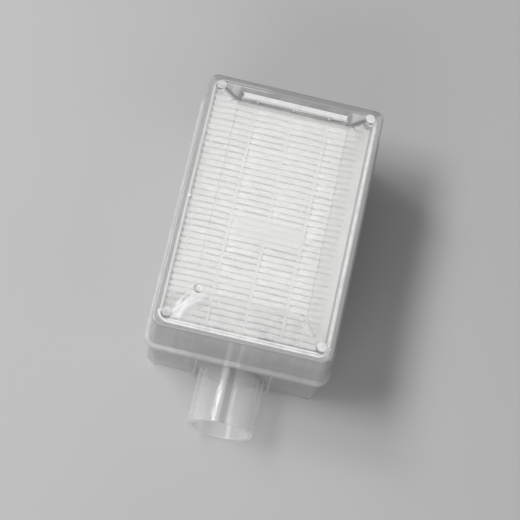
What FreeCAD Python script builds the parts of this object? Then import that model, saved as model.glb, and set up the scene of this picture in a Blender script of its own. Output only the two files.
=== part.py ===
import FreeCAD, Part
import os
from math import atan2, cos, degrees, sin, sqrt
from FreeCAD import Vector as V

os.makedirs("parts", exist_ok=True)

# Box filter for the intake line of a small compressor, in millimetres.
# Origin: centre of the rim plan at table height. +Z up, the outlet tube points
# along -Y, the air inlet slot is in the end slope on the +Y side.

# ---- driving dimensions -------------------------------------------------
RIM_HX, RIM_HY = 29.4, 44.4        # half sizes of the flat rim of the cover
RIM_R = 3.2                        # its plan corner radius
RIM_Z = 46.0                       # height of the flat rim
SKIRT_DRAFT = 0.55                 # how far the skirt widens going down
SKIRT_FOOT_Z = 26.6                # where the skirt meets the lip
LIP_HX, LIP_HY = 31.0, 46.0        # half sizes of the lip that laps the tray
LIP_R = 4.6
LIP_Z0, LIP_Z1 = 23.2, 25.7        # bottom of the lip, top of its upright face
LIP_EDGE_R = 0.45                  # rounding of its lower edge
WALL = 1.5                         # moulded wall of cover and tray
STEP_HX, STEP_HY = 27.6, 42.6      # raised step round the foot of the crown
STEP_H = 0.4
STEP_R, STEP_EDGE_R = 3.2, 0.25    # its plan corner and the rounding of its top edge
CROWN_HX, CROWN_HY = 26.5, 41.5    # foot of the sloped crown
CROWN_R = 2.6                      # its plan corner radius at the foot
TOP_HX, TOP_HY = 18.2, 33.2        # flat top of the crown
TOP_R, TOP_EDGE_R = 1.1, 0.6       # its plan corner and the rounding of its edge
TOP_Z = 53.0
SLOT_HX = 17.6                     # half width of the inlet slot
SLOT_S0, SLOT_S1 = 3.5, 8.7        # its lower and upper edge along the slope
SLOT_R, SLOT_EDGE_R = 0.7, 0.3     # its corners in plan and the rounding of its outer edge
POST_X, POST_Y, POST_R = 25.0, 40.1, 1.7   # hold-down posts in the crown corners
POST_Z0, POST_Z1 = 42.8, 48.0
GATE_X, GATE_Y, GATE_R, GATE_D = -16.9, -31.9, 1.25, 0.5   # moulding gate dimple
JOINT_Z = 26.2                     # weld plane between tray and cover
TRAY_TOP_HX, TRAY_TOP_HY, TRAY_TOP_R = 29.55, 44.55, 3.35
TRAY_BOT_HX, TRAY_BOT_HY, TRAY_BOT_R = 29.2, 44.2, 3.1
TRAY_EDGE_R = 1.3                  # rounding of the bottom edge
FLOOR_T = 1.8
TUBE_R, TUBE_WALL = 11.0, 1.6      # outlet tube, 22 mm outside
TUBE_Z = 11.5                      # height of its axis
TUBE_MOUTH_Y = -64.1
TUBE_ROOT_R = 1.2                  # rounding where the tube leaves the wall
RIB_T, RIB_TOP_Z = 1.4, 24.0       # upright ribs in the tray that carry the pack
PITCH = 2.14                       # pleat pitch
N_PLEATS = 39
SHEET_T = 0.45                     # thickness of the folded medium
PACK_HX = 26.4
PACK_Z0, PACK_Z1 = 24.0, 42.0
BEAD_X = (-24.2, -12.1, 0.0, 12.1, 24.2)   # spacer beads across the folds
BEAD_W = 0.9
BEAD_RISE, BEAD_DIP = 0.22, 0.65   # above the fold tips, and down between legs
SEAL_Z0, SEAL_Z1 = 39.6, 42.8      # adhesive seal round the top of the pack


# ---- helpers --------------------------------------------------------------
def rr_wire(hx, hy, r, z):
    """closed rounded rectangle in plan at height z"""
    k = r * (1 - sqrt(0.5))
    e = [
        Part.makeLine(V(-hx + r, -hy, z), V(hx - r, -hy, z)),
        Part.Arc(V(hx - r, -hy, z), V(hx - k, -hy + k, z), V(hx, -hy + r, z)).toShape(),
        Part.makeLine(V(hx, -hy + r, z), V(hx, hy - r, z)),
        Part.Arc(V(hx, hy - r, z), V(hx - k, hy - k, z), V(hx - r, hy, z)).toShape(),
        Part.makeLine(V(hx - r, hy, z), V(-hx + r, hy, z)),
        Part.Arc(V(-hx + r, hy, z), V(-hx + k, hy - k, z), V(-hx, hy - r, z)).toShape(),
        Part.makeLine(V(-hx, hy - r, z), V(-hx, -hy + r, z)),
        Part.Arc(V(-hx, -hy + r, z), V(-hx + k, -hy + k, z), V(-hx + r, -hy, z)).toShape(),
    ]
    return Part.Wire(e)


def rr_block(*levels):
    """solid through rounded rectangles (hx, hy, r, z), one straight stage per pair"""
    out = None
    for a, b in zip(levels, levels[1:]):
        s = Part.makeLoft([rr_wire(*a), rr_wire(*b)], True, True)
        out = s if out is None else out.fuse(s)
    return out


def one(shape):
    """the single solid of a result, cleaned"""
    shape = shape.removeSplitter()
    assert len(shape.Solids) == 1, len(shape.Solids)
    s = shape.Solids[0]
    assert s.isValid()
    return s


def box(x0, x1, y0, y1, z0, z1):
    return Part.makeBox(x1 - x0, y1 - y0, z1 - z0, V(x0, y0, z0))


def edges_at(shape, test):
    return [e for e in shape.Edges if test(e.BoundBox)]


# ---- cover: skirt, lip, rim, step and crown in one moulding ----------------
foot_hx, foot_hy = RIM_HX + SKIRT_DRAFT, RIM_HY + SKIRT_DRAFT
skirt = rr_block((foot_hx, foot_hy, RIM_R + 0.3, LIP_Z1 - 0.5), (RIM_HX, RIM_HY, RIM_R, RIM_Z))
skirt = skirt.makeFillet(0.8, edges_at(skirt, lambda b: b.ZMin > RIM_Z - 1e-3))
lip = rr_block((LIP_HX, LIP_HY, LIP_R, LIP_Z0), (LIP_HX, LIP_HY, LIP_R, LIP_Z1),
               (foot_hx, foot_hy, RIM_R + 0.3, SKIRT_FOOT_Z)).removeSplitter()
lip = lip.makeFillet(LIP_EDGE_R, edges_at(lip, lambda b: b.ZMax < LIP_Z0 + 1e-3))
step = rr_block((STEP_HX, STEP_HY, STEP_R, RIM_Z - 0.5), (STEP_HX - 0.1, STEP_HY - 0.1, STEP_R - 0.1, RIM_Z + STEP_H))
step = step.makeFillet(STEP_EDGE_R, edges_at(step, lambda b: b.ZMin > RIM_Z + STEP_H - 1e-3))
crown = rr_block((CROWN_HX, CROWN_HY, CROWN_R, RIM_Z + STEP_H), (TOP_HX, TOP_HY, TOP_R, TOP_Z))
crown = crown.makeFillet(TOP_EDGE_R, edges_at(crown, lambda b: b.ZMin > TOP_Z - 1e-3))
crown = crown.fuse(rr_block((CROWN_HX, CROWN_HY, CROWN_R, RIM_Z - 0.5), (CROWN_HX, CROWN_HY, CROWN_R, RIM_Z + STEP_H)))
outer = skirt.fuse([lip, step, crown]).removeSplitter()

run, rise = CROWN_HX - TOP_HX, TOP_Z - RIM_Z - STEP_H
slope_len = sqrt(run * run + rise * rise)
dz = WALL * slope_len / run              # vertical thickness of a sloped wall
in_top_z = TOP_Z - WALL
in_top_x = TOP_HX + (TOP_Z - (in_top_z + dz)) * run / rise
in_top_y = TOP_HY + (TOP_Z - (in_top_z + dz)) * run / rise
under_z = RIM_Z - WALL
in_foot_x = CROWN_HX - (under_z + dz - RIM_Z - STEP_H) * run / rise
in_foot_y = CROWN_HY - (under_z + dz - RIM_Z - STEP_H) * run / rise
hollow = rr_block((in_foot_x, in_foot_y, 1.6, under_z - 0.2), (in_foot_x, in_foot_y, 1.6, under_z),
                  (in_top_x, in_top_y, 0.6, in_top_z))


def inner_half(z):
    """inner half sizes of the skirt at height z"""
    t = (RIM_Z - z) / (RIM_Z - LIP_Z1 + 0.5)
    return RIM_HX + SKIRT_DRAFT * t - WALL, RIM_HY + SKIRT_DRAFT * t - WALL


def well_r(z):
    """inner corner radius of the skirt at height z"""
    return 1.7 + 0.3 * (under_z - z) / (under_z - JOINT_Z)


wx0, wy0 = inner_half(JOINT_Z)
wx1, wy1 = inner_half(under_z)
well = rr_block((wx0, wy0, well_r(JOINT_Z), JOINT_Z), (wx1, wy1, well_r(under_z), under_z))
lap = rr_block((TRAY_TOP_HX + 0.05, TRAY_TOP_HY + 0.05, TRAY_TOP_R + 0.05, LIP_Z0 - 1),
               (TRAY_TOP_HX + 0.05, TRAY_TOP_HY + 0.05, TRAY_TOP_R + 0.05, JOINT_Z))
cover = outer.cut(hollow.fuse([well, lap]))

# hold-down posts in the four crown corners, solid down to the seal
for sx in (-1, 1):
    for sy in (-1, 1):
        p = Part.makeCylinder(POST_R, POST_Z1 - POST_Z0, V(sx * POST_X, sy * POST_Y, POST_Z0))
        p = p.makeFillet(0.35, [e for e in p.Edges if e.BoundBox.ZMin > POST_Z1 - 1e-3 and e.BoundBox.XLength > 1])
        cover = cover.fuse(p)

# inlet slot, square to the +Y slope
ang = degrees(atan2(rise, run))
slot = box(-SLOT_HX, SLOT_HX, -SLOT_S1, -SLOT_S0, -4, 4)
slot = slot.makeFillet(SLOT_R, [e for e in slot.Edges if e.BoundBox.ZLength > 7.9])
slot.rotate(V(0, 0, 0), V(1, 0, 0), -ang)
slot.translate(V(0, CROWN_HY, RIM_Z + STEP_H))
cover = cover.cut(slot)
slope_n = V(0, rise, run).normalize()
on_slope = []
for e in cover.Edges:
    c = e.CenterOfMass
    if abs((c - V(0, CROWN_HY, RIM_Z + STEP_H)).dot(slope_n)) < 1e-3 and abs(c.x) < SLOT_HX + 0.1:
        s_at = (CROWN_HY - c.y) * slope_len / run
        if SLOT_S0 - 0.05 < s_at < SLOT_S1 + 0.05:
            on_slope.append(e)
print("slot edges", len(on_slope))
cover = cover.makeFillet(SLOT_EDGE_R, on_slope)

# moulding gate: a shallow round dimple by one corner of the flat top
cover = cover.cut(Part.makeCylinder(GATE_R, GATE_D + 1, V(GATE_X, GATE_Y, TOP_Z - GATE_D)))
cover = one(cover)

# ---- tray with the outlet tube, one moulding -------------------------------
tray = rr_block((TRAY_BOT_HX, TRAY_BOT_HY, TRAY_BOT_R, 0.0), (TRAY_TOP_HX, TRAY_TOP_HY, TRAY_TOP_R, JOINT_Z))
tray = tray.makeFillet(TRAY_EDGE_R, edges_at(tray, lambda b: b.ZMax < 1e-3))


def tray_half(z):
    """outer half sizes of the tray wall at height z"""
    t = z / JOINT_Z
    return (TRAY_BOT_HX + (TRAY_TOP_HX - TRAY_BOT_HX) * t, TRAY_BOT_HY + (TRAY_TOP_HY - TRAY_BOT_HY) * t)


wall_y = -tray_half(TUBE_Z)[1]
tube = Part.makeCylinder(TUBE_R, -TUBE_MOUTH_Y + wall_y + 1.0, V(0, wall_y + 1.0, TUBE_Z), V(0, -1, 0))
tube = tube.makeFillet(0.35, [e for e in tube.Edges if e.BoundBox.YMax < TUBE_MOUTH_Y + 1e-3])
# flared root: a ring with a concave quarter-round profile, kept above the table
r0, rr = TUBE_R - 0.2, TUBE_ROOT_R
yf = -tray_half(TUBE_Z + TUBE_R)[1]
prof = Part.Wire([
    Part.makeLine(V(0, yf + 0.9, r0), V(0, yf + 0.9, TUBE_R + rr)),
    Part.makeLine(V(0, yf + 0.9, TUBE_R + rr), V(0, yf, TUBE_R + rr)),
    Part.Arc(V(0, yf, TUBE_R + rr), V(0, yf - rr * (1 - sqrt(0.5)), TUBE_R + rr * (1 - sqrt(0.5))),
             V(0, yf - rr, TUBE_R)).toShape(),
    Part.makeLine(V(0, yf - rr, TUBE_R), V(0, yf - rr, r0)),
    Part.makeLine(V(0, yf - rr, r0), V(0, yf + 0.9, r0)),
])
root = Part.Face(prof).revolve(V(0, 0, 0), V(0, 1, 0), 360)
root.translate(V(0, 0, TUBE_Z))
root = root.common(box(-30, 30, -60, -40, 0.45, 40))
tray = tray.fuse([tube, root])
# small upright gussets between the tube flanks and the wall
for sx in (-1, 1):
    g = Part.Face(Part.makePolygon([V(0, wall_y + 0.8, 1.6), V(0, wall_y - 0.9, 1.6), V(0, wall_y - 0.9, 6.5),
                                    V(0, wall_y + 0.8, 13.0), V(0, wall_y + 0.8, 1.6)])).extrude(V(0.8, 0, 0))
    g.translate(V(sx * 12.9 - 0.4, 0, 0))
    tray = tray.fuse(g)
hx0, hy0 = TRAY_BOT_HX - WALL - 0.1, TRAY_BOT_HY - WALL - 0.1
hx1, hy1 = TRAY_TOP_HX - WALL - 0.05, TRAY_TOP_HY - WALL - 0.05
well2 = rr_block((hx0, hy0, 1.7, FLOOR_T), (hx1, hy1, 1.9, JOINT_Z + 1.0))
tray = tray.cut(well2)
bore = Part.makeCylinder(TUBE_R - TUBE_WALL, 30, V(0, TUBE_MOUTH_Y - 1, TUBE_Z), V(0, 1, 0))
tray = tray.cut(bore.common(box(-20, 20, -70, wall_y + 3.0, -5, 40)))
# upright ribs that carry the pack: three on each long wall, two on each end wall
for sx in (-1, 1):
    for y in (-28.0, 0.0, 28.0):
        tray = tray.fuse(box(*sorted((sx * 25.0, sx * (hx0 + 0.6))), y - RIB_T / 2, y + RIB_T / 2, FLOOR_T - 0.4, RIB_TOP_Z))
    for sy in (-1, 1):
        tray = tray.fuse(box(sx * 15.6 - RIB_T / 2, sx * 15.6 + RIB_T / 2, *sorted((sy * 39.6, sy * (hy0 + 0.6))),
                             FLOOR_T - 0.4, RIB_TOP_Z))
tray = one(tray)

# ---- pleated pack: one folded sheet ----------------------------------------
leg = PITCH / 2
h = SHEET_T / 2
n_leg = 2 * N_PLEATS
y_leg = [(k - (n_leg - 1) / 2) * leg for k in range(n_leg)]
r_out, r_in = leg / 2 + h, leg / 2 - h
zt, zb = PACK_Z1 - r_out, PACK_Z0 + r_out


def turn(ya, yb, zc, r, up):
    ym = (ya + yb) / 2
    return Part.Arc(V(0, ya, zc), V(0, ym, zc + (r if up else -r)), V(0, yb, zc)).toShape()


def side(first):
    """edges of one face of the sheet, first = -1 or +1 on leg 0"""
    e, s = [], first
    for k in range(n_leg):
        y = y_leg[k] + s * h
        a, b = (zb, zt) if k % 2 == 0 else (zt, zb)
        e.append(Part.makeLine(V(0, y, a), V(0, y, b)))
        if k < n_leg - 1:
            up = k % 2 == 0
            yn = y_leg[k + 1] - s * h
            e.append(turn(y, yn, zt if up else zb, r_out if s < 0 else r_in, up))
            s = -s
    return e


a_side, b_side = side(-1), side(1)
ends = [Part.makeLine(V(0, y_leg[0] - h, zb), V(0, y_leg[0] + h, zb)),
        Part.makeLine(V(0, y_leg[-1] - h, zb), V(0, y_leg[-1] + h, zb))]
wire = Part.Wire(Part.__sortEdges__(a_side + b_side + ends))
pack = Part.Face(wire).extrude(V(2 * PACK_HX, 0, 0))
pack.translate(V(-PACK_HX, 0, 0))
pack = one(pack)


# ---- spacer beads: adhesive lines over the fold tips ------------------------
def bead(upper):
    """comb profile that lies on the tips and dips between them"""
    zc = zt if upper else zb
    sgn = 1 if upper else -1
    tip = PACK_Z1 if upper else PACK_Z0
    flat = tip + sgn * BEAD_RISE
    low = zc - sgn * BEAD_DIP
    pairs = [(k, k + 1) for k in range(0 if upper else 1, n_leg - 1, 2)]
    e = []
    for i, (a, b) in enumerate(pairs):
        ya, yb = y_leg[a] - h, y_leg[b] + h
        e.append(turn(ya, yb, zc, r_out, upper))
        if i < len(pairs) - 1:
            yn = y_leg[pairs[i + 1][0]] - h
            e += [Part.makeLine(V(0, yb, zc), V(0, yb, low)), Part.makeLine(V(0, yb, low), V(0, yn, low)),
                  Part.makeLine(V(0, yn, low), V(0, yn, zc))]
    y0, y1 = y_leg[pairs[0][0]] - h, y_leg[pairs[-1][1]] + h
    e += [Part.makeLine(V(0, y1, zc), V(0, y1, flat)), Part.makeLine(V(0, y1, flat), V(0, y0, flat)),
          Part.makeLine(V(0, y0, flat), V(0, y0, zc))]
    s = Part.Face(Part.Wire(Part.__sortEdges__(e))).extrude(V(BEAD_W, 0, 0))
    out = []
    for x in BEAD_X:
        c = s.copy()
        c.translate(V(x - BEAD_W / 2, 0, 0))
        out.append(c)
    return Part.makeCompound([one(c) for c in out])


beads_upper, beads_lower = bead(True), bead(False)

# ---- seal: adhesive ring between the pack and the skirt ---------------------
sx0, sy0 = inner_half(SEAL_Z0)
sx1, sy1 = inner_half(SEAL_Z1)
ring = rr_block((sx0, sy0, well_r(SEAL_Z0), SEAL_Z0), (sx1, sy1, well_r(SEAL_Z1), SEAL_Z1))
pack_hy = y_leg[-1] + h
seal = one(ring.cut(box(-PACK_HX, PACK_HX, -pack_hy, pack_hy, SEAL_Z0 - 1, SEAL_Z1 + 1)))

# ---- write ------------------------------------------------------------------
for name, shape in (("cover", cover), ("tray", tray), ("pleated_pack", pack), ("spacer_beads_upper", beads_upper),
                    ("spacer_beads_lower", beads_lower), ("pack_seal", seal)):
    shape.exportStep("parts/%s.step" % name)
    b = shape.BoundBox
    print("%-20s vol %9.1f  x %.2f..%.2f  y %.2f..%.2f  z %.2f..%.2f  faces %d" %
          (name, shape.Volume, b.XMin, b.XMax, b.YMin, b.YMax, b.ZMin, b.ZMax, len(shape.Faces)))
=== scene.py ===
import bpy
import math
from mathutils import Matrix, Vector, noise


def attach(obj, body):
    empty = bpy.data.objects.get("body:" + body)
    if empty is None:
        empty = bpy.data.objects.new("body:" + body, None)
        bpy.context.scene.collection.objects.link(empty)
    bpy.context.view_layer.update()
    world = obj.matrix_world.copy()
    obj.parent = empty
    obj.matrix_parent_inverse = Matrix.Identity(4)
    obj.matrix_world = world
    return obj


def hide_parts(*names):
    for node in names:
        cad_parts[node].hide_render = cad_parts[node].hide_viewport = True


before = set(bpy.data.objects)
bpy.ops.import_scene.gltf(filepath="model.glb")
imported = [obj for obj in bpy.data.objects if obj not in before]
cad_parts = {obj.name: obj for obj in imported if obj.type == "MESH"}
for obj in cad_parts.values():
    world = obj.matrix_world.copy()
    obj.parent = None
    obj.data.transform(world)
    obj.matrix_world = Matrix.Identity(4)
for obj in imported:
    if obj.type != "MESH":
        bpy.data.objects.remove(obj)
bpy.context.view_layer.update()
scene = bpy.context.scene
MM = 0.001

# ---------------------------------------------------------------- camera
# steep view from the tube end, about 70 degrees above the table, rolled 15.5 degrees
FOCAL_PX, FRAME_PX = 1963.1, 520.0
cam_pos = Vector((-9.955, -226.84, 635.19)) * MM
right = Vector((0.97362767, 0.20959344, 0.09010965))
up = Vector((-0.22766501, 0.91814227, 0.32431992))
fwd = Vector((0.01475815, 0.33628166, -0.94164582))
u0, v0 = (260 - 257.497) / FOCAL_PX, -(260 - 261.473) / FOCAL_PX
f = (fwd + right * u0 + up * v0).normalized()
r = (right - f * right.dot(f)).normalized()
u = r.cross(f).normalized()
cam_data = bpy.data.cameras.new("camera")
cam = bpy.data.objects.new("camera", cam_data)
scene.collection.objects.link(cam)
cam_data.sensor_width = 36.0
cam_data.lens = FOCAL_PX / FRAME_PX * 36.0
cam_data.clip_start, cam_data.clip_end = 0.02, 20.0
m = Matrix((r, u, -f)).transposed().to_4x4()
m.translation = cam_pos
cam.matrix_world = m
scene.camera = cam

# ---------------------------------------------------------------- light
scene.view_settings.view_transform = "Standard"
world = bpy.data.worlds.new("world")
scene.world = world
world.use_nodes = True
bg = world.node_tree.nodes["Background"]
bg.inputs["Color"].default_value = (1.0, 1.0, 1.0, 1)
bg.inputs["Strength"].default_value = 0.19


def area(name, direction, dist, sx, sy, power):
    d = bpy.data.lights.new(name, "AREA")
    d.shape = "RECTANGLE"
    d.size, d.size_y, d.energy = sx, sy, power
    o = bpy.data.objects.new(name, d)
    pos = Vector(direction).normalized() * dist + Vector((0, 0, 0.03))
    o.location = pos
    o.rotation_mode = "QUATERNION"
    o.rotation_quaternion = (Vector((0, 0, 0.03)) - pos).to_track_quat("-Z", "Y")
    scene.collection.objects.link(o)
    return o


area("key", (-0.526, -0.059, 0.848), 0.95, 0.33, 0.22, 4.15)
area("second", (-0.56, 0.27, 0.785), 0.95, 0.20, 0.26, 2.0)
area("right_fill", (0.66, -0.30, 0.69), 1.1, 0.5, 0.5, 0.5)
area("low_front", (-0.22, -0.80, 0.52), 1.1, 0.6, 0.4, 2.4)


# ---------------------------------------------------------------- node helpers
def new_mat(name):
    mt = bpy.data.materials.new(name)
    mt.use_nodes = True
    nt = mt.node_tree
    return mt, nt, nt.nodes["Principled BSDF"]


def plug(nt, src, socket):
    if isinstance(src, (int, float)):
        socket.default_value = src
    else:
        nt.links.new(src, socket)


def op(nt, kind, a, b=None, c=None, clamp=False):
    n = nt.nodes.new("ShaderNodeMath")
    n.operation = kind
    n.use_clamp = clamp
    plug(nt, a, n.inputs[0])
    if b is not None:
        plug(nt, b, n.inputs[1])
    if c is not None:
        plug(nt, c, n.inputs[2])
    return n.outputs[0]


def step(nt, x, lo, hi, a=0.0, b=1.0):
    """smooth change from a to b as x goes from lo to hi"""
    n = nt.nodes.new("ShaderNodeMapRange")
    n.interpolation_type = "SMOOTHSTEP"
    plug(nt, x, n.inputs["Value"])
    for k, v in (("From Min", lo), ("From Max", hi), ("To Min", a), ("To Max", b)):
        n.inputs[k].default_value = v
    return n.outputs["Result"]


def blend(nt, fac, a, b):
    """a where fac is 0, b where fac is 1"""
    n = nt.nodes.new("ShaderNodeMix")
    n.data_type = "FLOAT"
    plug(nt, fac, n.inputs[0])
    plug(nt, a, n.inputs[2])
    plug(nt, b, n.inputs[3])
    return n.outputs[0]


def grey(nt, value, socket, tint=(1.0, 1.0, 1.0)):
    c = nt.nodes.new("ShaderNodeCombineColor")
    for i in range(3):
        plug(nt, op(nt, "MULTIPLY", value, tint[i]), c.inputs[i])
    nt.links.new(c.outputs[0], socket)


def tex_noise(nt, scale, detail=3.0, rough=0.5, dist=0.0, vec=None):
    n = nt.nodes.new("ShaderNodeTexNoise")
    n.inputs["Scale"].default_value = scale
    n.inputs["Detail"].default_value = detail
    n.inputs["Roughness"].default_value = rough
    n.inputs["Distortion"].default_value = dist
    if vec is not None:
        nt.links.new(vec, n.inputs["Vector"])
    return n.outputs["Fac"]


def coords(nt, scale=(1000, 1000, 1000)):
    """object coordinates, in millimetres by default"""
    tc = nt.nodes.new("ShaderNodeTexCoord")
    mp = nt.nodes.new("ShaderNodeMapping")
    mp.inputs["Scale"].default_value = scale
    nt.links.new(tc.outputs["Object"], mp.inputs["Vector"])
    return mp.outputs["Vector"]


def xyz(nt, vec):
    s = nt.nodes.new("ShaderNodeSeparateXYZ")
    nt.links.new(vec, s.inputs[0])
    return s.outputs[0], s.outputs[1], s.outputs[2]


def bump(nt, p, heights):
    prev = None
    for src, strength, dist in heights:
        b = nt.nodes.new("ShaderNodeBump")
        b.inputs["Strength"].default_value = strength
        b.inputs["Distance"].default_value = dist
        nt.links.new(src, b.inputs["Height"])
        if prev is not None:
            nt.links.new(prev.outputs["Normal"], b.inputs["Normal"])
        prev = b
    nt.links.new(prev.outputs["Normal"], p.inputs["Normal"])


def facing(nt, power):
    lw = nt.nodes.new("ShaderNodeLayerWeight")
    lw.inputs["Blend"].default_value = 0.5
    return op(nt, "POWER", lw.outputs["Facing"], power)


def soft_alpha(nt, al, share=0.62):
    """the plastic scatters light forwards, so lamps get through it better than the eye does"""
    lp = nt.nodes.new("ShaderNodeLightPath")
    return op(nt, "MULTIPLY", al, op(nt, "SUBTRACT", 1.0, op(nt, "MULTIPLY", lp.outputs["Is Shadow Ray"], share)))


def near_point(nt, x, y, px, py):
    """distance in plan from (px, py)"""
    a, b = op(nt, "SUBTRACT", x, px), op(nt, "SUBTRACT", y, py)
    return op(nt, "SQRT", op(nt, "ADD", op(nt, "MULTIPLY", a, a), op(nt, "MULTIPLY", b, b)))


# ---------------------------------------------------------------- cover: milky polypropylene
cover_mat, nt, p = new_mat("milky_cover")
mm = coords(nt)
x, y, z = xyz(nt, mm)
X, Y = op(nt, "ABSOLUTE", x), op(nt, "ABSOLUTE", y)
dx, dy = op(nt, "SUBTRACT", X, 18.2), op(nt, "SUBTRACT", Y, 33.2)
t = op(nt, "MAXIMUM", dx, dy)                      # distance outside the edge of the flat top
cloud = tex_noise(nt, 0.06, 4, 0.55, 0.4, mm)
flow = tex_noise(nt, 1.0, 3, 0.5, 0.8, coords(nt, (160, 30, 60)))
fine = tex_noise(nt, 0.9, 3, 0.6, 0.0, mm)
dash = tex_noise(nt, 1.0, 2, 0.5, 0.0, coords(nt, (330, 330, 100)))

wall = step(nt, z, 44.6, 45.5, 1.0, 0.0)
ex, ey = op(nt, "MAXIMUM", op(nt, "SUBTRACT", dx, 5.7), 0.0), op(nt, "MAXIMUM", op(nt, "SUBTRACT", dy, 5.7), 0.0)
tr = op(nt, "ADD", 5.7, op(nt, "SQRT", op(nt, "ADD", op(nt, "MULTIPLY", ex, ex), op(nt, "MULTIPLY", ey, ey))))
is_near = step(nt, op(nt, "ADD", y, 38.9), 0.0, -0.8)
band = op(nt, "MULTIPLY", step(nt, tr, 8.40, 8.62), step(nt, tr, 9.15, 9.38, 1.0, 0.0))
rim = step(nt, tr, 9.2, 9.45)
# painted shade stripes along both edges of the loop band, lighter towards the right side
band_shade_lines = op(nt, "MAXIMUM", step(nt, op(nt, "ABSOLUTE", op(nt, "SUBTRACT", tr, 8.33)), 0.05, 0.28, 1.0, 0.0),
           step(nt, op(nt, "ABSOLUTE", op(nt, "SUBTRACT", tr, 9.45)), 0.05, 0.30, 1.0, 0.0))
# near side of the loop band: a painted highlight stripe with painted shade stripes beside it, one dark and one grey
near_shade_stripe = op(nt, "MULTIPLY", is_near, step(nt, op(nt, "ABSOLUTE", op(nt, "SUBTRACT", tr, 8.22)), 0.10, 0.30, 1.0, 0.0))
near_highlight_stripe = op(nt, "MULTIPLY", is_near, op(nt, "MULTIPLY", step(nt, tr, 8.42, 8.55), step(nt, tr, 9.75, 9.95, 1.0, 0.0)))
near_grey_shade_stripe = op(nt, "MULTIPLY", is_near, step(nt, op(nt, "ABSOLUTE", op(nt, "SUBTRACT", tr, 9.15)), 0.04, 0.20, 1.0, 0.0))
# a painted shade stripe along the edges of the flat top, fainter on the right side and on the far side
edge = op(nt, "MULTIPLY", step(nt, op(nt, "ABSOLUTE", op(nt, "SUBTRACT", t, 0.1)), 0.08, 0.55, 1.0, 0.0), op(nt, "MULTIPLY", step(nt, x, 10.0, 17.0, 1.0, 0.3), step(nt, y, 30.5, 32.0, 1.0, 0.25)))
hip = op(nt, "MULTIPLY", step(nt, op(nt, "ABSOLUTE", op(nt, "SUBTRACT", dx, dy)), 0.1, 0.75, 1.0, 0.0),
         op(nt, "MULTIPLY", step(nt, op(nt, "MINIMUM", dx, dy), 0.0, 0.6), step(nt, t, 7.0, 8.2, 1.0, 0.0)))
# the far slope is painted grey as shade, lighter beyond the width of the flat top
far = op(nt, "MULTIPLY", step(nt, op(nt, "SUBTRACT", op(nt, "SUBTRACT", y, 33.3), op(nt, "MAXIMUM", dx, 0.0)), 0.0, 0.5),
         step(nt, z, 42.0, 43.0))
patch = op(nt, "MAXIMUM", op(nt, "SUBTRACT", op(nt, "ABSOLUTE", op(nt, "SUBTRACT", x, 0.3)), 12.0),
           op(nt, "SUBTRACT", op(nt, "ABSOLUTE", op(nt, "ADD", y, 8.2)), 3.85))
patch = op(nt, "MULTIPLY", step(nt, op(nt, "ADD", patch, op(nt, "MULTIPLY", fine, 0.8)), -1.2, 1.1, 1.0, 0.0), step(nt, z, 50.0, 51.0))
post_d = near_point(nt, X, Y, 25.0, 40.1)
post = step(nt, post_d, 1.5, 1.78, 1.0, 0.0)
post_side = op(nt, "ADD", op(nt, "MULTIPLY", op(nt, "SUBTRACT", x, op(nt, "MULTIPLY", op(nt, "SIGN", x), 25.0)), -0.45),
               op(nt, "MULTIPLY", op(nt, "SUBTRACT", y, op(nt, "MULTIPLY", op(nt, "SIGN", y), 40.1)), -0.89))
# corner posts: a painted shade crescent on the near left of each post's rim and a painted highlight on the far right of
# its top
post_rim = step(nt, op(nt, "ABSOLUTE", op(nt, "SUBTRACT", post_d, 1.65)), 0.08, 0.38, 1.0, 0.0)
post_shade_crescent = op(nt, "MULTIPLY", post_rim, step(nt, post_side, 0.3, 1.1))
post_lit = op(nt, "MULTIPLY", post, step(nt, post_side, 0.6, -0.9))
# gate dimple: a painted shade crescent round its near left rim and a painted highlight inside it on the far right
gate = near_point(nt, x, y, -16.9, -31.9)
gate_side = op(nt, "ADD", op(nt, "MULTIPLY", op(nt, "ADD", x, 16.9), -0.80), op(nt, "MULTIPLY", op(nt, "ADD", y, 31.9), -0.60))
gate_top = step(nt, z, 51.0, 52.0)
gate_shade_ring = op(nt, "MULTIPLY", step(nt, op(nt, "ABSOLUTE", op(nt, "SUBTRACT", gate, 1.35)), 0.12, 0.42, 1.0, 0.0), gate_top)
gate_shade_ring = op(nt, "MULTIPLY", gate_shade_ring, step(nt, gate_side, -0.5, 0.8, 0.05, 1.0))
gate_lit = op(nt, "MULTIPLY", op(nt, "MULTIPLY", step(nt, op(nt, "ABSOLUTE", op(nt, "SUBTRACT", gate, 0.85)), 0.1, 0.35, 1.0, 0.0), step(nt, gate_side, 0.5, -0.4)), gate_top)

# place on the slope above the slot: s runs up the slope from its foot
s_up = op(nt, "ADD", op(nt, "MULTIPLY", op(nt, "SUBTRACT", 41.5, y), 0.7827), op(nt, "MULTIPLY", op(nt, "SUBTRACT", z, 46.4), 0.6224))
in_slot_x = step(nt, X, 17.5, 17.9, 1.0, 0.0)
on_far = step(nt, y, 33.4, 33.8)
# the slot's wall on the foot side is painted near white and almost opaque: painted light for the glow of light carried
# through the plastic
slot_glow_face = op(nt, "MULTIPLY", op(nt, "MULTIPLY", step(nt, op(nt, "ABSOLUTE", op(nt, "SUBTRACT", s_up, 3.42)), 0.16, 0.26, 1.0, 0.0), in_slot_x),
               op(nt, "MULTIPLY", on_far, step(nt, z, 45.0, 45.4)))
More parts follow.
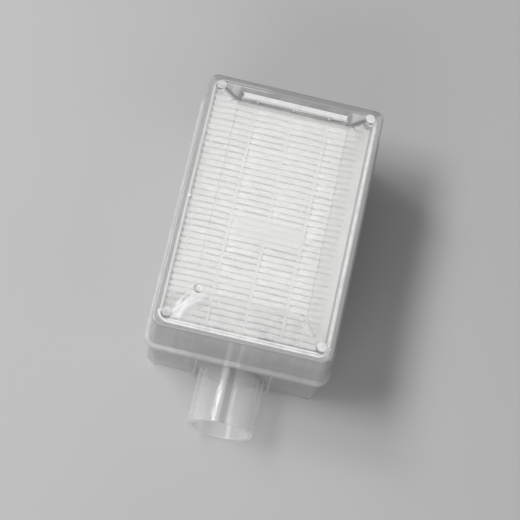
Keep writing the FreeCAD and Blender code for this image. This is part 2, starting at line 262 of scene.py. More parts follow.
# painted glints: short bright streaks on the fold ridges seen through the flat top, just right of each bead and of the
# right edge of the flat top
rows = op(nt, "MULTIPLY", op(nt, "ABSOLUTE", op(nt, "SUBTRACT", op(nt, "FRACT", op(nt, "DIVIDE", op(nt, "ADD", y, op(nt, "MULTIPLY", cloud, 0.5)), 2.14)), 0.5)), 2.14)
after = None
for b, reach in ((-12.1, 3.8), (0.0, 3.0), (12.1, 3.4), (18.7, 2.6)):
    w = op(nt, "MULTIPLY", step(nt, x, b + 0.5, b + 1.0), step(nt, x, b + 0.6 * reach, b + 1.2 * reach, 1.0, 0.0))
    after = w if after is None else op(nt, "MAXIMUM", after, w)
pick = tex_noise(nt, 1.0, 1, 0.5, 0.0, coords(nt, (140, 470, 0)))
painted_glints = op(nt, "MULTIPLY", op(nt, "MULTIPLY", step(nt, rows, 0.10, 0.30, 1.0, 0.0), after), op(nt, "MULTIPLY", step(nt, pick, 0.44, 0.56), step(nt, z, 51.9, 52.4)))
painted_glints = op(nt, "MULTIPLY", painted_glints, step(nt, Y, 31.0, 32.5, 1.0, 0.0))
painted_glints = op(nt, "MULTIPLY", painted_glints, op(nt, "SUBTRACT", 1.0, patch))
# a painted shade stripe across the far slope just above the slot
far_edge_shade = op(nt, "MULTIPLY", op(nt, "MULTIPLY", step(nt, s_up, 8.6, 8.9), step(nt, s_up, 9.0, 9.5, 1.0, 0.0)), on_far)
# painted shade wedges on the far slope beside the two far hips
far_hip_shade = op(nt, "MULTIPLY", op(nt, "MULTIPLY", step(nt, op(nt, "SUBTRACT", dy, dx), -0.35, 0.1), step(nt, op(nt, "SUBTRACT", dy, dx), 0.7, 2.3, 1.0, 0.0)),
             op(nt, "MULTIPLY", op(nt, "MULTIPLY", step(nt, y, 33.3, 35.5), step(nt, dx, 0.0, 0.8)), step(nt, t, 7.2, 8.2, 1.0, 0.0)))
# near hips: painted streaks of light and shade along the hip creases
near_hip = op(nt, "MULTIPLY", hip, step(nt, y, 0.0, -5.0))
# thick smooth place on the near left corner of the crown: more opaque, and painted lighter as a refraction highlight
# with drag streaks along the hip; a painted dark sweep of shade curves along its near right side
du = op(nt, "ADD", op(nt, "MULTIPLY", op(nt, "ADD", x, 20.4), 0.707), op(nt, "MULTIPLY", op(nt, "ADD", y, 35.6), 0.707))
dv = op(nt, "SUBTRACT", op(nt, "MULTIPLY", op(nt, "ADD", x, 20.4), 0.707), op(nt, "MULTIPLY", op(nt, "ADD", y, 35.6), 0.707))
lens = op(nt, "SQRT", op(nt, "ADD", op(nt, "POWER", op(nt, "DIVIDE", du, 6.6), 2.0), op(nt, "POWER", op(nt, "DIVIDE", op(nt, "SUBTRACT", dv, 1.5), 2.9), 2.0)))
lens = op(nt, "MULTIPLY", step(nt, lens, 0.75, 1.1, 1.0, 0.0), step(nt, z, 45.6, 46.4))
uv = nt.nodes.new("ShaderNodeCombineXYZ")
plug(nt, op(nt, "MULTIPLY", du, 0.14), uv.inputs[0])
plug(nt, op(nt, "MULTIPLY", dv, 0.6), uv.inputs[1])
drag = tex_noise(nt, 1.0, 3, 0.55, 1.4, uv.outputs[0])
shade_sweep = op(nt, "SUBTRACT", dv, op(nt, "ADD", 3.3, op(nt, "MULTIPLY", op(nt, "MULTIPLY", du, du), 0.06)))
shade_sweep = op(nt, "MULTIPLY", step(nt, op(nt, "ABSOLUTE", shade_sweep), 0.2, 1.2, 1.0, 0.0),
            op(nt, "MULTIPLY", step(nt, du, -4.5, -2.0), step(nt, du, 4.0, 9.0, 1.0, 0.0)))
shade_sweep = op(nt, "MULTIPLY", shade_sweep, step(nt, z, 45.6, 46.4))
side_x = step(nt, op(nt, "SUBTRACT", dx, dy), -0.4, 0.4)           # 1 on the long sides, 0 on the ends
# the loop band is toned side by side as painted light and shade: light on the near short side, dark on the far short
# side, the long sides in between
ends = step(nt, y, -5.0, 5.0, 0.97, 0.42)
sides = blend(nt, step(nt, x, -5.0, 5.0), 0.80, step(nt, dash, 0.38, 0.60, 0.80, 0.98))
band_light_and_shade = blend(nt, side_x, ends, sides)
# the facets of the crown are toned as painted light and shade: the right slope lighter, the left and near slopes darker
# than the flat top
base = op(nt, "MULTIPLY", step(nt, x, 17.0, 18.5, 0.89, 1.0), op(nt, "MULTIPLY", step(nt, x, -19.0, -17.5, 0.90, 1.0), step(nt, y, -34.2, -32.8, 0.76, 1.0)))
val = blend(nt, edge, base, 0.66)
val = blend(nt, painted_glints, val, 1.0)
val = blend(nt, lens, val, step(nt, drag, 0.38, 0.62, 0.72, 1.0))
val = blend(nt, shade_sweep, val, 0.58)
val = blend(nt, near_hip, val, step(nt, dash, 0.40, 0.6, 0.55, 1.0))
val = blend(nt, far, val, op(nt, "MULTIPLY", step(nt, flow, 0.35, 0.65, 0.31, 0.44), step(nt, X, 18.4, 19.4, 1.0, 1.85)))
val = blend(nt, far_edge_shade, val, 0.28)
val = blend(nt, far_hip_shade, val, 0.22)
val = blend(nt, gate_shade_ring, val, 0.22)
val = blend(nt, gate_lit, val, 1.0)
val = blend(nt, band, val, band_light_and_shade)
# the rim is toned side by side as painted shade: darkest on the far side, lightest on the right side
val = blend(nt, rim, val, blend(nt, side_x, step(nt, y, -5.0, 5.0, 0.42, 0.34), step(nt, x, -5.0, 5.0, 0.50, 0.56)))
val = blend(nt, band_shade_lines, val, step(nt, x, 20.0, 24.0, 0.42, 0.60))
val = blend(nt, near_highlight_stripe, val, step(nt, dash, 0.35, 0.55, 0.86, 1.0))
val = blend(nt, near_grey_shade_stripe, val, step(nt, dash, 0.35, 0.65, 0.62, 0.9))
val = blend(nt, near_shade_stripe, val, step(nt, dash, 0.35, 0.65, 0.16, 0.5))
# painted highlight on the far loop stripe towards the left
far_highlight_stripe = op(nt, "MULTIPLY", band_shade_lines, op(nt, "MULTIPLY", step(nt, y, 41.0, 41.3), step(nt, x, -6.0, -12.0)))
val = blend(nt, far_highlight_stripe, val, 0.95)
# painted shade ticks at the pleat pitch along the left loop, where the hollows between folds show through
pleat_hollow_shade = op(nt, "MULTIPLY", op(nt, "MULTIPLY", step(nt, op(nt, "ABSOLUTE", op(nt, "ADD", x, 26.15)), 0.16, 0.42, 1.0, 0.0), step(nt, Y, 38.5, 39.5, 1.0, 0.0)),
           op(nt, "MULTIPLY", step(nt, op(nt, "ABSOLUTE", op(nt, "SUBTRACT", op(nt, "FRACT", op(nt, "DIVIDE", y, 2.14)), 0.5)), 0.16, 0.4, 1.0, 0.0),
              step(nt, dash, 0.40, 0.55, 0.35, 1.0)))
val = blend(nt, pleat_hollow_shade, val, 0.34)
mark = op(nt, "MULTIPLY", op(nt, "MULTIPLY", step(nt, op(nt, "ABSOLUTE", op(nt, "SUBTRACT", x, 16.5)), 0.45, 0.8, 1.0, 0.0),
                             step(nt, op(nt, "ABSOLUTE", op(nt, "ADD", y, 33.0)), 0.08, 0.3, 1.0, 0.0)), step(nt, z, 51.0, 52.0))
# a small painted glint near the left rim, with a painted shade spot beside it
glint_dist = near_point(nt, x, y, -26.9, 0.3)
glint_spot = op(nt, "MULTIPLY", step(nt, glint_dist, 0.35, 0.6, 1.0, 0.0), step(nt, z, 45.0, 45.6))
glint_shade = op(nt, "MULTIPLY", step(nt, near_point(nt, x, y, -26.2, -0.5), 0.25, 0.5, 1.0, 0.0), step(nt, z, 45.0, 45.6))
val = blend(nt, mark, val, 0.30)
val = blend(nt, glint_shade, val, 0.25)
val = blend(nt, glint_spot, val, 1.0)
tall = step(nt, tex_noise(nt, 1.0, 2, 0.5, 0.2, coords(nt, (260, 260, 12))), 0.35, 0.65, 0.94, 1.06)
# two vertical bands of painted reflection of the tube's highlights on the near wall
tube_reflection = op(nt, "MULTIPLY", op(nt, "MAXIMUM", step(nt, op(nt, "ABSOLUTE", op(nt, "ADD", x, 3.0)), 0.3, 1.1, 1.0, 0.0),
                               step(nt, op(nt, "ABSOLUTE", op(nt, "SUBTRACT", x, 0.9)), 0.2, 0.9, 0.8, 0.0)), step(nt, y, -43.0, -43.6))
val = blend(nt, wall, val, op(nt, "MULTIPLY", op(nt, "ADD", op(nt, "MULTIPLY", step(nt, z, 25.4, 27.0, 0.76, 0.73), step(nt, y, -43.4, -42.0, 0.90, 1.0)), op(nt, "MULTIPLY", tube_reflection, 0.20)), tall))
val = blend(nt, post, val, op(nt, "MAXIMUM", step(nt, fine, 0.42, 0.6, 0.62, 0.98), step(nt, x, -5.0, 5.0, 0.0, 0.96)))
val = blend(nt, post_lit, val, step(nt, fine, 0.38, 0.5, 0.86, 1.0))
val = blend(nt, post_shade_crescent, val, 0.28)
val = blend(nt, slot_glow_face, val, step(nt, dash, 0.3, 0.5, 0.93, 1.0))
val = op(nt, "MULTIPLY", val, op(nt, "ADD", 0.93, op(nt, "MULTIPLY", cloud, 0.12)))
grey(nt, val, p.inputs["Base Color"], (1.0, 1.0, 0.995))

right_slope = step(nt, dx, -0.5, 0.3)
right_slope = op(nt, "MULTIPLY", right_slope, op(nt, "MULTIPLY", step(nt, x, 0.0, 1.0), side_x))
open_top = op(nt, "ADD", 0.30, op(nt, "ADD", step(nt, y, 19.0, 28.0, 0.0, 0.09), step(nt, y, -20.0, -30.0, 0.0, 0.05)))
al = blend(nt, right_slope, open_top, 0.20)
al = blend(nt, edge, al, 0.40)
al = blend(nt, painted_glints, al, 0.86)
al = blend(nt, lens, al, 0.68)
al = blend(nt, shade_sweep, al, 0.46)
al = blend(nt, near_hip, al, 0.80)
al = blend(nt, far, al, 0.66)
al = blend(nt, far_edge_shade, al, 0.64)
al = blend(nt, far_hip_shade, al, 0.68)
al = blend(nt, patch, al, 0.60)
al = blend(nt, gate_shade_ring, al, 0.72)
al = blend(nt, gate_lit, al, 0.85)
al = blend(nt, band, al, 0.70)
al = blend(nt, rim, al, 0.66)
al = blend(nt, band_shade_lines, al, step(nt, x, 20.0, 24.0, 0.55, 0.42))
al = blend(nt, near_highlight_stripe, al, 0.90)
al = blend(nt, near_grey_shade_stripe, al, 0.62)
al = blend(nt, near_shade_stripe, al, 0.72)
al = blend(nt, pleat_hollow_shade, al, 0.55)
al = blend(nt, mark, al, 0.7)
al = blend(nt, glint_shade, al, 0.7)
al = blend(nt, glint_spot, al, 0.95)
al = blend(nt, wall, al, 0.46)
al = blend(nt, post, al, step(nt, x, -5.0, 5.0, 0.55, 0.72))
al = blend(nt, post_shade_crescent, al, 0.80)
al = blend(nt, slot_glow_face, al, 0.98)
al = op(nt, "MULTIPLY", al, op(nt, "ADD", 0.90, op(nt, "MULTIPLY", cloud, 0.2)))
al = op(nt, "ADD", al, op(nt, "MULTIPLY", op(nt, "SUBTRACT", 1.0, al), op(nt, "MULTIPLY", facing(nt, 3.0), 0.6)), clamp=True)
nt.links.new(soft_alpha(nt, al), p.inputs["Alpha"])
p.inputs["Specular IOR Level"].default_value = 0.9
nt.links.new(step(nt, flow, 0.3, 0.7, 0.09, 0.2), p.inputs["Roughness"])
p.inputs["IOR"].default_value = 1.49
bump(nt, p, [(cloud, 0.25, 0.0008), (flow, 0.12, 0.0004), (fine, 0.05, 0.00006)])

# ---------------------------------------------------------------- tray: the same plastic
tray_mat, nt, p = new_mat("milky_tray")
mm = coords(nt)
x, y, z = xyz(nt, mm)
cloud = tex_noise(nt, 0.07, 4, 0.55, 0.4, mm)
flow = tex_noise(nt, 1.0, 3, 0.5, 0.8, coords(nt, (120, 30, 90)))
fine = tex_noise(nt, 0.9, 3, 0.6, 0.0, mm)
tube = step(nt, y, -46.0, -45.0, 1.0, 0.0)
# painted highlight: the tray is painted lighter along its bottom rim, away from the tube
low = op(nt, "MULTIPLY", step(nt, z, 1.6, 0.5), step(nt, tube, 0.0, 1.0, 1.0, 0.0))
val = blend(nt, tube, step(nt, y, -44.0, -42.0, 0.52, 0.60), 0.92)
val = blend(nt, low, val, 0.84)
glint = op(nt, "MULTIPLY", step(nt, op(nt, "ABSOLUTE", op(nt, "ADD", x, 27.9)), 1.2, 2.0, 1.0, 0.0), op(nt, "MULTIPLY", step(nt, y, -42.6, -43.2), step(nt, z, 2.6, 1.8)))
upright = op(nt, "MULTIPLY", op(nt, "MULTIPLY", step(nt, op(nt, "ABSOLUTE", op(nt, "SUBTRACT", op(nt, "ABSOLUTE", x), 12.6)), 0.1, 0.45, 1.0, 0.0), step(nt, y, -43.4, -43.8)),
             step(nt, z, 24.0, 22.0))
val = blend(nt, glint, val, 1.0)
val = blend(nt, upright, val, 0.74)
# painted highlight on the rim of the tube opening
opening_highlight = step(nt, y, -63.75, -64.0)
val = blend(nt, opening_highlight, val, 0.95)
# painted highlights along the top of the tube: a long bright streak and a shorter second one, with a painted dark band
# of shade between them
on_top = op(nt, "MULTIPLY", tube, step(nt, z, 13.0, 15.0))
sx = step(nt, y, -64.0, -47.0, 0.55, 1.15)
strip = op(nt, "DIVIDE", op(nt, "ABSOLUTE", op(nt, "ADD", x, 2.6)), sx)
strip = op(nt, "MULTIPLY", op(nt, "MULTIPLY", step(nt, strip, 0.2, 1.35, 1.0, 0.0), on_top), step(nt, y, -63.5, -50.0, 0.55, 1.0))
second_tube_highlight = op(nt, "MULTIPLY", op(nt, "MULTIPLY", step(nt, op(nt, "ABSOLUTE", op(nt, "SUBTRACT", x, 1.9)), 0.2, 0.8, 1.0, 0.0), on_top), step(nt, y, -48.5, -54.0))
between = op(nt, "MULTIPLY", step(nt, op(nt, "ABSOLUTE", op(nt, "ADD", x, 0.2)), 0.7, 1.5, 1.0, 0.0), on_top)
val = blend(nt, between, val, 0.40)
val = blend(nt, second_tube_highlight, val, 1.0)
val = blend(nt, strip, val, 0.94)
val = op(nt, "MULTIPLY", val, op(nt, "ADD", 0.92, op(nt, "MULTIPLY", cloud, 0.14)))
grey(nt, val, p.inputs["Base Color"], (1.0, 1.0, 0.995))
al = blend(nt, tube, 0.50, 0.17)
al = blend(nt, glint, al, 0.85)
al = blend(nt, opening_highlight, al, 0.30)
al = blend(nt, between, al, 0.26)
al = blend(nt, second_tube_highlight, al, 0.30)
al = blend(nt, strip, al, 0.34)
al = op(nt, "MULTIPLY", al, op(nt, "ADD", 0.90, op(nt, "MULTIPLY", cloud, 0.2)))
al = op(nt, "ADD", al, op(nt, "MULTIPLY", op(nt, "SUBTRACT", 1.0, al), op(nt, "MULTIPLY", facing(nt, 3.0), step(nt, tube, 0.0, 1.0, 0.6, 0.95))), clamp=True)
nt.links.new(soft_alpha(nt, al), p.inputs["Alpha"])
p.inputs["Specular IOR Level"].default_value = 0.9
nt.links.new(step(nt, flow, 0.3, 0.7, 0.09, 0.2), p.inputs["Roughness"])
p.inputs["IOR"].default_value = 1.49
bump(nt, p, [(cloud, 0.25, 0.0008), (flow, 0.12, 0.0004), (fine, 0.05, 0.00006)])

# ---------------------------------------------------------------- filter medium: glass fibre paper
paper, nt, p = new_mat("filter_medium")
mm = coords(nt)
fib = tex_noise(nt, 1.0, 5, 0.65, 1.2, coords(nt, (900, 2600, 1800)))
mott = tex_noise(nt, 0.5, 4, 0.6, 0.5, mm)
px_, py_, pz_ = xyz(nt, mm)
# painted shade: the fold tops at the far side of the pack, under the slot, are a little darker
slot_shade = op(nt, "MULTIPLY", step(nt, py_, 37.9, 38.7), step(nt, op(nt, "ABSOLUTE", px_), 17.6, 19.0, 1.0, 0.0))
drawn = tex_noise(nt, 1.0, 2, 0.5, 0.3, coords(nt, (230, 1100, 60)))
grey(nt, op(nt, "MULTIPLY", op(nt, "MULTIPLY", step(nt, mott, 0.25, 0.75, 0.95, 1.0), step(nt, drawn, 0.40, 0.60, 0.90, 1.0)), op(nt, "SUBTRACT", 1.0, op(nt, "MULTIPLY", slot_shade, 0.12))),
     p.inputs["Base Color"], (1.0, 1.0, 0.99))
nt.links.new(op(nt, "SUBTRACT", step(nt, fib, 0.3, 0.7, 0.36, 0.50), op(nt, "MULTIPLY", step(nt, pz_, 41.0, 41.6), 0.08)), p.inputs["Roughness"])
p.inputs["Specular IOR Level"].default_value = 0.5
bump(nt, p, [(fib, 0.22, 0.00008), (mott, 0.2, 0.0001)])

# ---------------------------------------------------------------- hot melt adhesive
glue, nt, p = new_mat("hot_melt")
mm = coords(nt)
nz = tex_noise(nt, 0.26, 3, 0.5, 0.6, mm)
gx, gy, gz = xyz(nt, mm)
skin = op(nt, "MULTIPLY", step(nt, gx, 18.0, 18.2), step(nt, gz, 41.8, 42.0))
gpick = tex_noise(nt, 1.0, 1, 0.5, 0.0, coords(nt, (140, 470, 0)))
tips = op(nt, "MULTIPLY", op(nt, "ABSOLUTE", op(nt, "SUBTRACT", op(nt, "FRACT", op(nt, "ADD", op(nt, "DIVIDE", gy, 2.14), 0.5)), 0.5)), 2.14)
inner = op(nt, "MULTIPLY", skin, step(nt, gx, 22.6, 24.2, 1.0, 0.0))
# on the adhesive skin, painted highlights on some crests over the fold tips and painted shade in the hollows beside
# them
crest_highlights = op(nt, "MULTIPLY", inner, op(nt, "MULTIPLY", step(nt, tips, 0.15, 0.5, 1.0, 0.0), step(nt, gpick, 0.44, 0.58)))
trough_shade = op(nt, "MULTIPLY", inner, op(nt, "MULTIPLY", step(nt, tips, 0.6, 1.0), step(nt, gpick, 0.40, 0.60, 0.35, 1.0)))
# painted shade on the adhesive under the slot, as on the paper
slot_glue_shade = op(nt, "MULTIPLY", step(nt, gy, 37.9, 38.7), step(nt, op(nt, "ABSOLUTE", gx), 17.6, 19.0, 1.0, 0.0))
gval = op(nt, "MULTIPLY", blend(nt, skin, step(nt, nz, 0.3, 0.7, 0.84, 0.90), step(nt, nz, 0.3, 0.7, 0.95, 1.0)), op(nt, "SUBTRACT", 1.0, op(nt, "MULTIPLY", slot_glue_shade, 0.12)))
gval = blend(nt, inner, gval, 0.93)
gval = blend(nt, trough_shade, gval, 0.72)
gval = blend(nt, crest_highlights, gval, 1.0)
grey(nt, gval, p.inputs["Base Color"], (1.0, 1.0, 0.99))
nt.links.new(step(nt, nz, 0.3, 0.75, 0.32, 0.55), p.inputs["Roughness"])
bump(nt, p, [(nz, 0.4, 0.0003)])

for node, mt in (("cover", cover_mat), ("tray", tray_mat)):
    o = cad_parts[node]
    o.data.materials.clear()
    o.data.materials.append(mt)


# ---------------------------------------------------------------- mesh helpers
def make_piece(name, verts, faces, mat, node):
    me = bpy.data.meshes.new(name)
    me.from_pydata([Vector(v) * MM for v in verts], [], faces)
    me.validate()
    me.materials.append(mat)
    for q in me.polygons:
        q.use_smooth = True
    me.update()
    o = bpy.data.objects.new(name, me)
    scene.collection.objects.link(o)
    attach(o, "root")
    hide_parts(node)
    return o


def nz3(a, b, c):
    return noise.noise(Vector((a, b, c)))


PITCH, N_PLEATS, SHEET_T = 2.14, 39, 0.45
PACK_HX, PACK_Z0, PACK_Z1 = 26.4, 24.0, 42.0
BEAD_X = (-24.2, -12.1, 0.0, 12.1, 24.2)
LEG, H = PITCH / 2, SHEET_T / 2
N_LEG = 2 * N_PLEATS
Y_LEG = [(k - (N_LEG - 1) / 2) * LEG for k in range(N_LEG)]
R_OUT, R_IN = LEG / 2 + H, LEG / 2 - H
ZT, ZB = PACK_Z1 - R_OUT, PACK_Z0 + R_OUT


def strip_of(xx):
    """index of the strip between two beads, and how far from the nearer bead"""
    i = sum(1 for b in BEAD_X if xx > b)
    return i, min(abs(xx - b) for b in BEAD_X)


def skin_edge(yy):
    """x where the adhesive over the fold tips begins"""
    return 18.9 + 5.0 * min(1.0, max(0.0, (-29.5 - yy) / 7.5))


def fold_shift(xx, yy, top):
    """how far a fold line wanders sideways and up at x, for the fold near y"""
    k = round(yy / PITCH)
    i, far_bead = strip_of(xx)
    free = 1 - math.exp(-(far_bead / 2.0) ** 2)
    sy = 0.10 * nz3(xx * 0.11, k * 0.7, 3.1) + 0.16 * free * nz3(i * 7.3 + xx * 0.02, k * 0.33, 8.7)
    sy += 0.10 * free * nz3(xx * 0.35, k * 1.9, 1.3)
    if xx < -18:
        sy += 0.035 * (xx + 18)
    if xx > 18:
        sy -= 0.035 * (xx - 18)
    if not top:
        return sy, 0.0
    sz = 0.16 * free * nz3(xx * 0.22, k * 2.3, 5.5)
    for b in (-12.1, 0.0, 12.1, 18.6):
        d = xx - b
        depth = (0.42 if b != 0.0 else 0.3) + 0.38 * nz3(b * 0.9, k * 1.7, 6.6)
        depth = max(0.08, depth) * (0.25 if b > 18 else 1.0)
        reach = 3.4 + 1.6 * nz3(k * 1.1, b * 1.3, 0.4)
        w = max(0.0, 1 + d / 1.3) if d < 0 else max(0.0, 1 - d / reach)
        sz -= depth * w * w * (3 - 2 * w)
    if xx > skin_edge(yy) - 1.2:
        sz -= 0.04 * min(1.0, (xx - skin_edge(yy) + 1.2) / 0.7)
        sz = max(-0.12, min(sz, 0.0))
    return sy, sz


def tip_fat(xx, k):
    """how much a fold is opened out at its tip, so that the gap beside it closes"""
    i, far_bead = strip_of(xx)
    a = 0.205 + 0.11 * nz3(i * 5.7, k * 0.83, 2.2) + 0.05 * nz3(xx * 0.3, k * 1.3, 7.7)
    q = min(1.0, max(0.0, (xx - skin_edge((k - 38) * LEG) + 1.3) / 1.6))
    a += (0.29 - a) * q
    return max(0.06, min(0.29, a))


def pack_profile():
    """offset curves of the folded sheet, one list for each face, of (y, z, k) with k the index of the leg"""
    def face(first):
        pts, s = [], first
        for k in range(N_LEG):
            yk = Y_LEG[k] + s * H
            a, b = (ZB, ZT) if k % 2 == 0 else (ZT, ZB)
            for q in (0.0, 0.35, 0.75, 1.0):
                pts.append((yk, a + (b - a) * q, k))
            if k < N_LEG - 1:
                top = k % 2 == 0
                yn = Y_LEG[k + 1] - s * H
                rad = R_OUT if s < 0 else R_IN
                yc, zc = (yk + yn) / 2, ZT if top else ZB
                n = 8 if (top and s < 0) else 4
                for j in range(1, n):
                    a2 = math.pi * j / n
                    pts.append((yc - math.cos(a2) * rad, zc + math.sin(a2) * rad * (1 if top else -1), k))
                s = -s
        return pts
    return face(-1), face(1)


def build_pack():
    fa, fb = pack_profile()
    loop = fa + fb[::-1]
    xs = []
    x0 = -PACK_HX
    n_col = 66
    for i in range(n_col + 1):
        xs.append(x0 + 2 * PACK_HX * i / n_col)
    verts, faces = [], []
    n = len(loop)
    for xx in xs:
        for (yy, zz, k) in loop:
            w = min(1.0, max(0.0, (zz - ZB) / (ZT - ZB)))
            kc = (k // 2) * 2
            yc = (Y_LEG[kc] + Y_LEG[min(kc + 1, N_LEG - 1)]) / 2
            sy, sz = fold_shift(xx, yc, True)
            fat = tip_fat(xx, kc) * min(1.0, max(0.0, (zz - ZT + 3.0) / 2.6))
            verts.append((xx, yy + sy * w + fat * max(-1.0, min(1.0, (yy - yc) / 0.3)), zz + sz * w))
    for i in range(n_col):
        for j in range(n):
            a, b = i * n + j, i * n + (j + 1) % n
            faces.append((a, a + n, b + n, b))
    # the two ends of the sheet, as strips between its faces
    na, nb = len(fa), len(fb)
    # walk both faces together by matching arc position
    def cap(base, flip):
        ia, ib = 0, 0
        while ia < na - 1 or ib < nb - 1:
            ta, tb = ia / (na - 1), ib / (nb - 1)
            va, vb = base + ia, base + n - 1 - ib
            if ib >= nb - 1 or (ia < na - 1 and (ia + 1) / (na - 1) <= (ib + 1) / (nb - 1)):
                tri = (va, base + ia + 1, vb)
                ia += 1
            else:
                tri = (va, base + n - 2 - ib, vb)
                ib += 1
            faces.append(tri if not flip else tri[::-1])
    cap(0, True)
    cap(n_col * n, False)
    return make_piece("pleated_medium", verts, faces, paper, "pleated_pack")


pack_piece = build_pack()


def build_beads(name, node, upper):
    verts, faces = [], []
    sgn = 1 if upper else -1
    tip = PACK_Z1 if upper else PACK_Z0
    zc = ZT if upper else ZB
    pairs = [(k, k + 1) for k in range(0 if upper else 1, N_LEG - 1, 2)]
    for bi, bx in enumerate(BEAD_X):
        ys, n_st = [], 8
        y0 = Y_LEG[pairs[0][0]] - H
        y1 = Y_LEG[pairs[-1][1]] + H
        total = int(round((y1 - y0) / PITCH * n_st))
        ring_n = 10
        base = len(verts)
        for s in range(total + 1):
            yy = y0 + (y1 - y0) * s / total
            # nearest fold tip
            yt = min(((Y_LEG[a] + Y_LEG[b]) / 2 for a, b in pairs), key=lambda q: abs(q - yy))
            d = abs(yy - yt)
            low = 0.65 if d > R_OUT * 0.98 else None
            bot = zc + sgn * (math.sqrt(max(0.0, R_OUT ** 2 - d * d)) - 0.45) if low is None else zc - sgn * low
            sink = 0.16 if not upper else (0.62 if abs(bx) > 20 else 0.30)
            top_z = tip + sgn * (-sink - 0.12 * (d / LEG) ** 2 + 0.10 * nz3(yy * 0.5, bi * 3.7, 2.0))
            sx = 0.10 * nz3(yy * 0.12, bi * 9.1, 4.0)
            hw = 0.58 + 0.12 * nz3(yy * 0.4, bi * 5.1, 9.0) + 0.05 * math.cos(math.pi * d / LEG)
            if s in (0, total):
                hw *= 0.35
            for j in range(ring_n):
                a = 2 * math.pi * j / ring_n
                ca, sa = math.cos(a), math.sin(a)
                zz = (top_z + bot) / 2 + (top_z - bot) / 2 * math.copysign(abs(sa) ** 0.8, sa)
                verts.append((bx + sx + hw * math.copysign(abs(ca) ** 0.8, ca), yy, zz))
        for s in range(total):
            for j in range(ring_n):
                a, b = base + s * ring_n + j, base + s * ring_n + (j + 1) % ring_n
                q = (a, b, b + ring_n, a + ring_n)
                faces.append(q if upper else q[::-1])
        c0 = [base + j for j in range(ring_n)]
        c1 = [base + total * ring_n + j for j in range(ring_n)]
        faces.append(tuple(c0[::-1]) if upper else tuple(c0))
        faces.append(tuple(c1) if upper else tuple(c1[::-1]))
    return make_piece(name, verts, faces, glue, node)


upper_beads = build_beads("adhesive_beads_upper", "spacer_beads_upper", True)
lower_beads = build_beads("adhesive_beads_lower", "spacer_beads_lower", False)


def rr_points(hx, hy, rad, n_side, n_corner):
    """points round a rounded rectangle, anticlockwise, with the outward direction of each"""
    pts = []
    cs = [(hx - rad, -hy + rad, -90), (hx - rad, hy - rad, 0), (-hx + rad, hy - rad, 90), (-hx + rad, -hy + rad, 180)]
    for i, (cx, cy, a0) in enumerate(cs):
        for j in range(n_corner + 1):
            a = math.radians(a0 + 90 * j / n_corner)
            pts.append((cx + rad * math.cos(a), cy + rad * math.sin(a), math.cos(a), math.sin(a)))
        nx, ny, b0 = cs[(i + 1) % 4]
        a = math.radians(a0 + 90)
        ax, ay = cx + rad * math.cos(a), cy + rad * math.sin(a)
        a2 = math.radians(b0)
        bx, by = nx + rad * math.cos(a2), ny + rad * math.sin(a2)
        ns = n_side[i % 2]
        for j in range(1, ns):
            q = j / ns
            pts.append((ax + (bx - ax) * q, ay + (by - ay) * q, math.cos(a), math.sin(a)))
    return pts


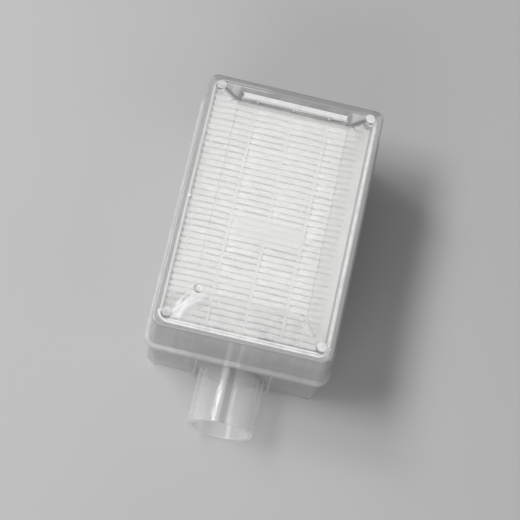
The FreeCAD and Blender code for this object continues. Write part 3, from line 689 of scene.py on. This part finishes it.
def build_seal():
    """adhesive poured between the pack and the skirt: a ring with a wavy meniscus"""
    outer = rr_points(28.02, 43.02, 1.72, (110, 70), 6)
    verts, faces = [], []
    sect = [(0.0, 0.0), (0.0, 0.5), (0.0, 1.0), (0.18, 0.93), (0.4, 0.86), (0.65, 0.82), (0.86, 0.80), (1.0, 0.74), (1.0, 0.35),
            (1.0, 0.0), (0.5, -0.03)]
    for (px, py, ox, oy) in outer:
        ix, iy = max(-PACK_HX, min(PACK_HX, px)), max(-41.42, min(41.42, py))
        ix, iy = (ix if abs(px) > PACK_HX else px), (iy if abs(py) > 41.42 else py)
        lift = 0.16 * nz3(px * 0.25, py * 0.25, 6.0)
        for (q, hgt) in sect:
            zz = 39.6 + hgt * 3.15 + (lift if 0.1 < q < 0.95 and hgt > 0.5 else 0.0)
            verts.append((px + (ix - px) * q, py + (iy - py) * q, min(zz, 42.8)))
    n, k = len(outer), len(sect)
    for i in range(n):
        for j in range(k):
            a, b = i * k + j, i * k + (j + 1) % k
            c, d = ((i + 1) % n) * k + j, ((i + 1) % n) * k + (j + 1) % k
            faces.append((a, c, d, b))
    # smooth skin of adhesive over the fold tips along the right edge of the pack
    ny, nx = 400, 20
    base = len(verts)
    for side in (0, 1):
        for i in range(ny + 1):
            yy = -40.9 + 81.8 * i / ny
            x_in = skin_edge(yy) + 0.3 * nz3(yy * 0.16, 3.3, 1.1) + 0.4 * nz3(yy * 0.9, 7.3, 2.1)
            crest = 0.5 + 0.5 * math.cos(2 * math.pi * yy / PITCH)
            for j in range(nx + 1):
                q = j / nx
                xx = x_in + (26.25 - x_in) * q
                lift = 0.20 * (1 - (1 - min(1.0, q / 0.8)) ** 2) + 0.05 * nz3(xx * 0.5, yy * 0.35, 4.4) * min(1.0, q / 0.2)
                fade = min(1.0, max(0.0, (24.2 - xx) / 2.6))
                lift += crest * fade * (0.26 + 0.16 * nz3(xx * 0.12, round(yy / PITCH) * 1.7, 9.1))
                verts.append((xx, yy, 42.03 + (lift + 0.03 if side == 0 else 0.0)))
    def at(side, i, j):
        return base + side * (ny + 1) * (nx + 1) + i * (nx + 1) + j
    for i in range(ny):
        for j in range(nx):
            faces.append((at(0, i, j), at(0, i, j + 1), at(0, i + 1, j + 1), at(0, i + 1, j)))
            faces.append((at(1, i, j), at(1, i + 1, j), at(1, i + 1, j + 1), at(1, i, j + 1)))
        faces.append((at(0, i, 0), at(0, i + 1, 0), at(1, i + 1, 0), at(1, i, 0)))
        faces.append((at(0, i, nx), at(1, i, nx), at(1, i + 1, nx), at(0, i + 1, nx)))
    for j in range(nx):
        faces.append((at(0, 0, j), at(1, 0, j), at(1, 0, j + 1), at(0, 0, j + 1)))
        faces.append((at(0, ny, j), at(0, ny, j + 1), at(1, ny, j + 1), at(1, ny, j)))
    return make_piece("adhesive_seal", verts, faces, glue, "pack_seal")


seal_piece = build_seal()

# ---------------------------------------------------------------- floor
fm, nt, p = new_mat("floor")
mm = coords(nt)
n1 = tex_noise(nt, 0.006, 3, 0.5, 0, mm)
n2 = tex_noise(nt, 0.9, 2, 0.5, 0, mm)
grey(nt, step(nt, n1, 0.2, 0.8, 0.54, 0.57), p.inputs["Base Color"])
p.inputs["Roughness"].default_value = 0.8
bump(nt, p, [(n2, 0.1, 0.0001)])
me = bpy.data.meshes.new("floor")
s = 3.0
me.from_pydata([(-s, -s, 0), (s, -s, 0), (s, s, 0), (-s, s, 0)], [], [(0, 1, 2, 3)])
floor = bpy.data.objects.new("floor", me)
floor.location.z = -0.00002
me.materials.append(fm)
scene.collection.objects.link(floor)
